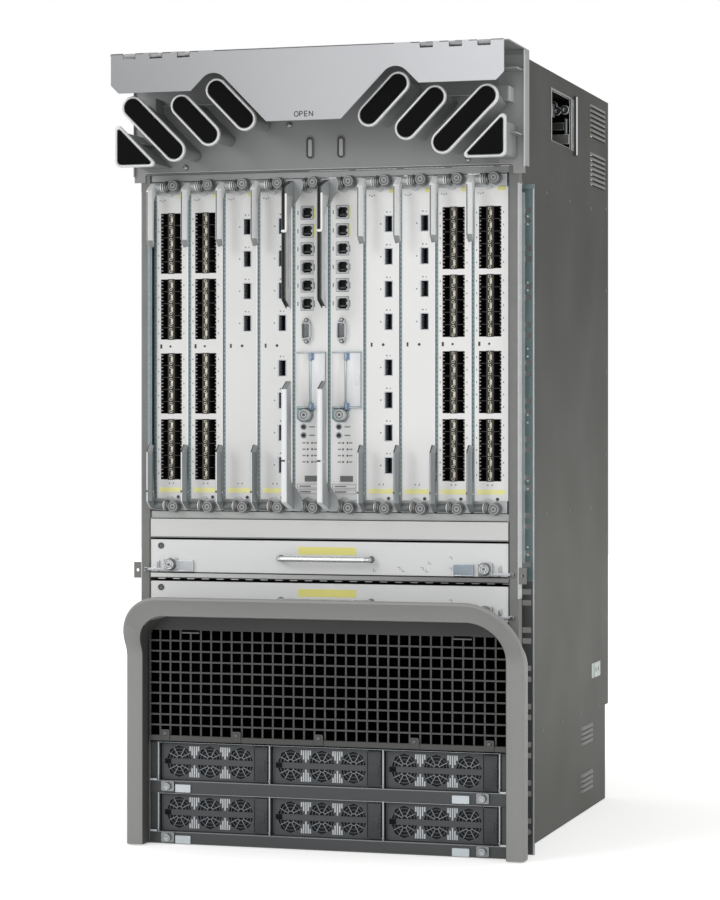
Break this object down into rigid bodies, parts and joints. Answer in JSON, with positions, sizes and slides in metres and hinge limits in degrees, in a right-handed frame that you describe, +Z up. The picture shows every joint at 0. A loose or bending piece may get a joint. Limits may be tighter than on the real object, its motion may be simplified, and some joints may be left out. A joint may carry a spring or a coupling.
{
  "type": "ethernet router",
  "caption": "Tall rack-mounted modular router: slide-in port cards with ejector levers, fan trays, power modules behind an arched bezel, and a cable hood with slanted guides.",
  "frame": {"origin": "middle of the footprint on the floor", "axes": "+Z up, -Y out of the front, +X to the right seen from the front"},
  "size_m": [0.4826, 0.6504, 0.9334],
  "materials": {
    "grey_paint": "satin powder coat",
    "hood_paint": "satin powder coat",
    "silver_paint": "fine metallic paint",
    "white_paint": "satin powder coat",
    "dark_paint": "satin",
    "zinc": "zinc plated",
    "bezel_plastic": "fine grain",
    "guide_plastic": "fine grain",
    "pad_rubber": "matte",
    "filter_foam": "open foam",
    "lever_steel": "bright plated",
    "black_plastic": "satin",
    "board_laminate": "solder mask"
  },
  "bodies": {
    "chassis": {"side_panel_right": "grey_paint", "side_panel_left": "grey_paint", "end_panels": "grey_paint", "rear_panel": "grey_paint", "rack_ears": "zinc", "power_trays": "white_paint", "power_inlets": "black_plastic", "intake_grille": "dark_paint", "air_filter": "filter_foam", "lower_bezel": "bezel_plastic", "fan_tray_lower": "white_paint", "front_cross_panels": "white_paint", "card_cage_floor": "zinc", "card_cage_roof": "zinc", "backplane": "board_laminate", "hood_panel": "hood_paint", "cable_guides": "guide_plastic", "guide_end_pads": "pad_rubber"},
    "hood_door": {"hood_door": "silver_paint"},
    "fan_tray_upper": {"fan_tray_upper": "white_paint"},
    "power_module_1": {"power_module_1": "dark_paint"},
    "power_module_2": {"power_module_2": "dark_paint"},
    "power_module_3": {"power_module_3": "dark_paint"},
    "power_module_4": {"power_module_4": "dark_paint"},
    "power_module_5": {"power_module_5": "dark_paint"},
    "power_module_6": {"power_module_6": "dark_paint"},
    "card_01": {"card_01": "white_paint"},
    "lever_foot_01": {"lever_foot_01": "lever_steel"},
    "lever_top_01": {"lever_top_01": "lever_steel"},
    "card_02": {"card_02": "white_paint"},
    "lever_foot_02": {"lever_foot_02": "lever_steel"},
    "lever_top_02": {"lever_top_02": "lever_steel"},
    "card_03": {"card_03": "white_paint"},
    "lever_foot_03": {"lever_foot_03": "lever_steel"},
    "lever_top_03": {"lever_top_03": "lever_steel"},
    "card_04": {"card_04": "white_paint"},
    "lever_foot_04": {"lever_foot_04": "lever_steel"},
    "lever_top_04": {"lever_top_04": "lever_steel"},
    "card_05": {"card_05": "white_paint"},
    "lever_foot_05": {"lever_foot_05": "lever_steel"},
    "lever_top_05": {"lever_top_05": "lever_steel"},
    "card_06": {"card_06": "white_paint"},
    "lever_foot_06": {"lever_foot_06": "lever_steel"},
    "lever_top_06": {"lever_top_06": "lever_steel"},
    "card_07": {"card_07": "white_paint"},
    "lever_foot_07": {"lever_foot_07": "lever_steel"},
    "lever_top_07": {"lever_top_07": "lever_steel"},
    "card_08": {"card_08": "white_paint"},
    "lever_foot_08": {"lever_foot_08": "lever_steel"},
    "lever_top_08": {"lever_top_08": "lever_steel"},
    "card_09": {"card_09": "white_paint"},
    "lever_foot_09": {"lever_foot_09": "lever_steel"},
    "lever_top_09": {"lever_top_09": "lever_steel"},
    "card_10": {"card_10": "white_paint"},
    "lever_foot_10": {"lever_foot_10": "lever_steel"},
    "lever_top_10": {"lever_top_10": "lever_steel"},
    "push_button_05_1": {"push_button_05_1": "black_plastic"},
    "push_button_05_2": {"push_button_05_2": "black_plastic"},
    "push_button_06_1": {"push_button_06_1": "black_plastic"},
    "push_button_06_2": {"push_button_06_2": "black_plastic"}
  },
  "joints": [
    {"name": "hood_door_hinge", "type": "hinge", "parent": "chassis", "child": "hood_door", "pos_m": [0, -0.32195, 0.93045], "axis": [-1, 0, 0], "range_deg": [0, 100]},
    {"name": "fan_tray_upper_slide", "type": "slide", "parent": "chassis", "child": "fan_tray_upper", "axis": [0, -1, 0], "range_m": [0, 0.45]},
    {"name": "power_module_1_slide", "type": "slide", "parent": "chassis", "child": "power_module_1", "axis": [0, -1, 0], "range_m": [0, 0.45]},
    {"name": "power_module_2_slide", "type": "slide", "parent": "chassis", "child": "power_module_2", "axis": [0, -1, 0], "range_m": [0, 0.45]},
    {"name": "power_module_3_slide", "type": "slide", "parent": "chassis", "child": "power_module_3", "axis": [0, -1, 0], "range_m": [0, 0.45]},
    {"name": "power_module_4_slide", "type": "slide", "parent": "chassis", "child": "power_module_4", "axis": [0, -1, 0], "range_m": [0, 0.45]},
    {"name": "power_module_5_slide", "type": "slide", "parent": "chassis", "child": "power_module_5", "axis": [0, -1, 0], "range_m": [0, 0.45]},
    {"name": "power_module_6_slide", "type": "slide", "parent": "chassis", "child": "power_module_6", "axis": [0, -1, 0], "range_m": [0, 0.45]},
    {"name": "card_01_slide", "type": "slide", "parent": "chassis", "child": "card_01", "axis": [0, -1, 0], "range_m": [0, 0.46]},
    {"name": "lever_foot_01_hinge", "type": "hinge", "parent": "card_01", "child": "lever_foot_01", "pos_m": [-0.20666, -0.24105, 0.4043], "axis": [1, 0, 0], "range_deg": [0, 70]},
    {"name": "lever_top_01_hinge", "type": "hinge", "parent": "card_01", "child": "lever_top_01", "pos_m": [-0.20666, -0.24105, 0.78405], "axis": [-1, 0, 0], "range_deg": [0, 70]},
    {"name": "card_02_slide", "type": "slide", "parent": "chassis", "child": "card_02", "axis": [0, -1, 0], "range_m": [0, 0.46]},
    {"name": "lever_foot_02_hinge", "type": "hinge", "parent": "card_02", "child": "lever_foot_02", "pos_m": [-0.16302, -0.24105, 0.4043], "axis": [1, 0, 0], "range_deg": [0, 70]},
    {"name": "lever_top_02_hinge", "type": "hinge", "parent": "card_02", "child": "lever_top_02", "pos_m": [-0.16302, -0.24105, 0.78405], "axis": [-1, 0, 0], "range_deg": [0, 70]},
    {"name": "card_03_slide", "type": "slide", "parent": "chassis", "child": "card_03", "axis": [0, -1, 0], "range_m": [0, 0.46]},
    {"name": "lever_foot_03_hinge", "type": "hinge", "parent": "card_03", "child": "lever_foot_03", "pos_m": [-0.11938, -0.24105, 0.4043], "axis": [1, 0, 0], "range_deg": [0, 70]},
    {"name": "lever_top_03_hinge", "type": "hinge", "parent": "card_03", "child": "lever_top_03", "pos_m": [-0.11938, -0.24105, 0.78405], "axis": [-1, 0, 0], "range_deg": [0, 70]},
    {"name": "card_04_slide", "type": "slide", "parent": "chassis", "child": "card_04", "axis": [0, -1, 0], "range_m": [0, 0.46]},
    {"name": "lever_foot_04_hinge", "type": "hinge", "parent": "card_04", "child": "lever_foot_04", "pos_m": [-0.07574, -0.24105, 0.4043], "axis": [1, 0, 0], "range_deg": [0, 70]},
    {"name": "lever_top_04_hinge", "type": "hinge", "parent": "card_04", "child": "lever_top_04", "pos_m": [-0.07574, -0.24105, 0.78405], "axis": [-1, 0, 0], "range_deg": [0, 70]},
    {"name": "card_05_slide", "type": "slide", "parent": "chassis", "child": "card_05", "axis": [0, -1, 0], "range_m": [0, 0.46]},
    {"name": "lever_foot_05_hinge", "type": "hinge", "parent": "card_05", "child": "lever_foot_05", "pos_m": [-0.0321, -0.24105, 0.4043], "axis": [1, 0, 0], "range_deg": [0, 70]},
    {"name": "lever_top_05_hinge", "type": "hinge", "parent": "card_05", "child": "lever_top_05", "pos_m": [-0.0321, -0.24105, 0.78405], "axis": [-1, 0, 0], "range_deg": [0, 70]},
    {"name": "push_button_05_1_press", "type": "slide", "parent": "card_05", "child": "push_button_05_1", "axis": [0, 1, 0], "range_m": [0, 0.0015], "stiffness_N_per_m": 500},
    {"name": "push_button_05_2_press", "type": "slide", "parent": "card_05", "child": "push_button_05_2", "axis": [0, 1, 0], "range_m": [0, 0.0015], "stiffness_N_per_m": 500},
    {"name": "card_06_slide", "type": "slide", "parent": "chassis", "child": "card_06", "axis": [0, -1, 0], "range_m": [0, 0.46]},
    {"name": "lever_foot_06_hinge", "type": "hinge", "parent": "card_06", "child": "lever_foot_06", "pos_m": [0.01154, -0.24105, 0.4043], "axis": [1, 0, 0], "range_deg": [0, 70]},
    {"name": "lever_top_06_hinge", "type": "hinge", "parent": "card_06", "child": "lever_top_06", "pos_m": [0.01154, -0.24105, 0.78405], "axis": [-1, 0, 0], "range_deg": [0, 70]},
    {"name": "push_button_06_1_press", "type": "slide", "parent": "card_06", "child": "push_button_06_1", "axis": [0, 1, 0], "range_m": [0, 0.0015], "stiffness_N_per_m": 500},
    {"name": "push_button_06_2_press", "type": "slide", "parent": "card_06", "child": "push_button_06_2", "axis": [0, 1, 0], "range_m": [0, 0.0015], "stiffness_N_per_m": 500},
    {"name": "card_07_slide", "type": "slide", "parent": "chassis", "child": "card_07", "axis": [0, -1, 0], "range_m": [0, 0.46]},
    {"name": "lever_foot_07_hinge", "type": "hinge", "parent": "card_07", "child": "lever_foot_07", "pos_m": [0.05518, -0.24105, 0.4043], "axis": [1, 0, 0], "range_deg": [0, 70]},
    {"name": "lever_top_07_hinge", "type": "hinge", "parent": "card_07", "child": "lever_top_07", "pos_m": [0.05518, -0.24105, 0.78405], "axis": [-1, 0, 0], "range_deg": [0, 70]},
    {"name": "card_08_slide", "type": "slide", "parent": "chassis", "child": "card_08", "axis": [0, -1, 0], "range_m": [0, 0.46]},
    {"name": "lever_foot_08_hinge", "type": "hinge", "parent": "card_08", "child": "lever_foot_08", "pos_m": [0.09882, -0.24105, 0.4043], "axis": [1, 0, 0], "range_deg": [0, 70]},
    {"name": "lever_top_08_hinge", "type": "hinge", "parent": "card_08", "child": "lever_top_08", "pos_m": [0.09882, -0.24105, 0.78405], "axis": [-1, 0, 0], "range_deg": [0, 70]},
    {"name": "card_09_slide", "type": "slide", "parent": "chassis", "child": "card_09", "axis": [0, -1, 0], "range_m": [0, 0.46]},
    {"name": "lever_foot_09_hinge", "type": "hinge", "parent": "card_09", "child": "lever_foot_09", "pos_m": [0.14246, -0.24105, 0.4043], "axis": [1, 0, 0], "range_deg": [0, 70]},
    {"name": "lever_top_09_hinge", "type": "hinge", "parent": "card_09", "child": "lever_top_09", "pos_m": [0.14246, -0.24105, 0.78405], "axis": [-1, 0, 0], "range_deg": [0, 70]},
    {"name": "card_10_slide", "type": "slide", "parent": "chassis", "child": "card_10", "axis": [0, -1, 0], "range_m": [0, 0.46]},
    {"name": "lever_foot_10_hinge", "type": "hinge", "parent": "card_10", "child": "lever_foot_10", "pos_m": [0.1861, -0.24105, 0.4043], "axis": [1, 0, 0], "range_deg": [0, 70]},
    {"name": "lever_top_10_hinge", "type": "hinge", "parent": "card_10", "child": "lever_top_10", "pos_m": [0.1861, -0.24105, 0.78405], "axis": [-1, 0, 0], "range_deg": [0, 70]}
  ]
}
